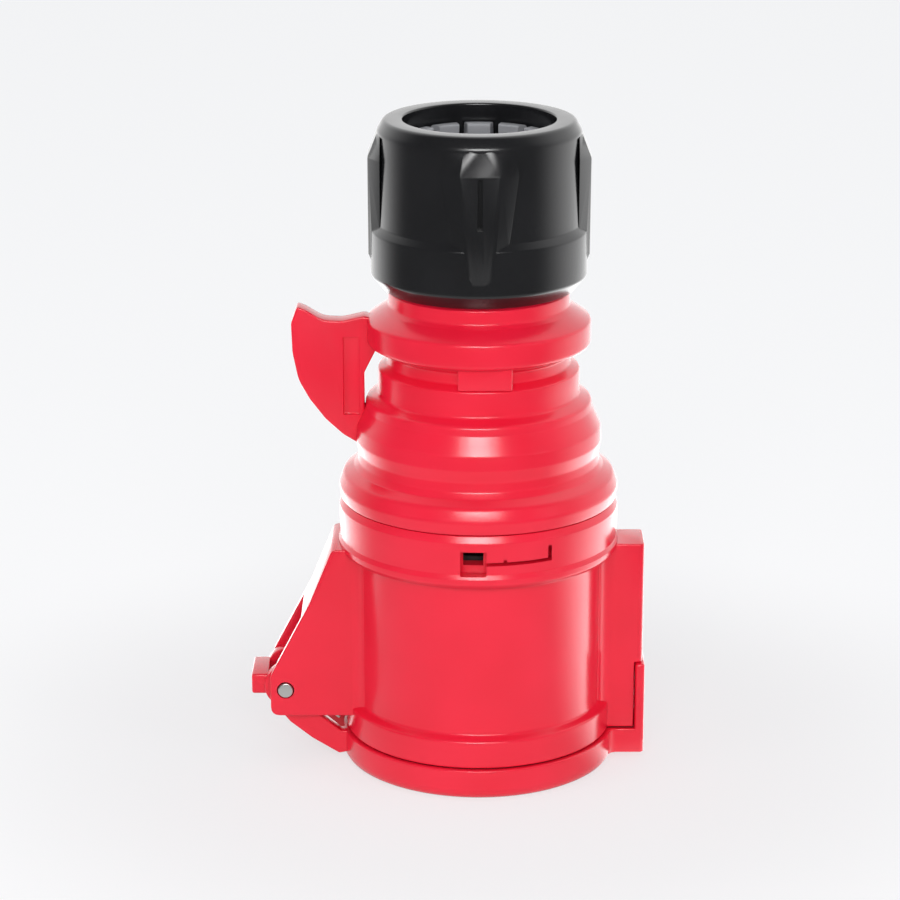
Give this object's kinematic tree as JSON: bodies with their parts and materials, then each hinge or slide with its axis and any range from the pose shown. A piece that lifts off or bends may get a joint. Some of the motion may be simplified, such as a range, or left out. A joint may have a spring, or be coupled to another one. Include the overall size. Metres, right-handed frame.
{
  "type": "industrial cable socket",
  "caption": "Round cable socket with a sprung hinged lid, keyed shroud, sleeve contacts, a stepped two-part housing and a screwed cable gland.",
  "frame": {"origin": "centre of the closed lid's outer face", "axes": "+Z along the socket's axis towards the gland, +X towards the keyway, -X towards the hinge, -Y towards the release window"},
  "size_m": [0.1133, 0.08, 0.187],
  "materials": {
    "red_plastic": "satin moulded plastic",
    "black_plastic": "satin moulded plastic",
    "grey_plastic": "matt moulded plastic",
    "clamp_plastic": "satin moulded plastic",
    "seal_rubber": "matt rubber",
    "steel": "bright steel",
    "brass": "machined brass"
  },
  "bodies": {
    "socket_body": {"front_housing": "red_plastic", "rear_housing": "red_plastic", "hinge_pin": "steel", "lid_spring": "steel", "contact_face": "grey_plastic", "contact_carrier": "grey_plastic", "terminal_plate": "grey_plastic", "contact_L1": "brass", "contact_L2": "brass", "contact_L3": "brass", "contact_N": "brass", "contact_PE": "brass", "spring_ring_L1": "steel", "spring_ring_L2": "steel", "spring_ring_L3": "steel", "spring_ring_N": "steel", "spring_ring_PE": "steel", "terminal_screw_L1": "steel", "terminal_screw_L2": "steel", "terminal_screw_L3": "steel", "terminal_screw_N": "steel", "terminal_screw_PE": "steel", "carrier_screw_1": "steel", "carrier_screw_2": "steel", "housing_seal": "seal_rubber", "cable_seal": "seal_rubber", "clamp_cage": "clamp_plastic"},
    "lid_body": {"lid": "red_plastic", "lid_gasket": "seal_rubber"},
    "ring_body": {"pressure_ring": "clamp_plastic"},
    "nut_body": {"gland_nut": "black_plastic"}
  },
  "joints": [
    {"name": "lid_hinge", "type": "hinge", "parent": "socket_body", "child": "lid_body", "pos_m": [-0.0553, 0, 0.0228], "axis": [0, 1, 0], "range_deg": [0, 110], "stiffness_Nm_per_rad": 0.08, "springref_deg": -68.75, "deforming": ["lid_spring"]},
    {"name": "gland_travel", "type": "slide", "parent": "socket_body", "child": "ring_body", "axis": [0, 0, 1], "range_m": [0, 0.00905]},
    {"name": "gland_nut_turn", "type": "hinge", "parent": "ring_body", "child": "nut_body", "pos_m": [0, 0, 0.163], "axis": [0, 0, 1], "range_deg": [0, 1080]}
  ],
  "couplings": [
    {"joint": "gland_travel", "follows": "gland_nut_turn", "m_per_rad": 0.00047746}
  ]
}
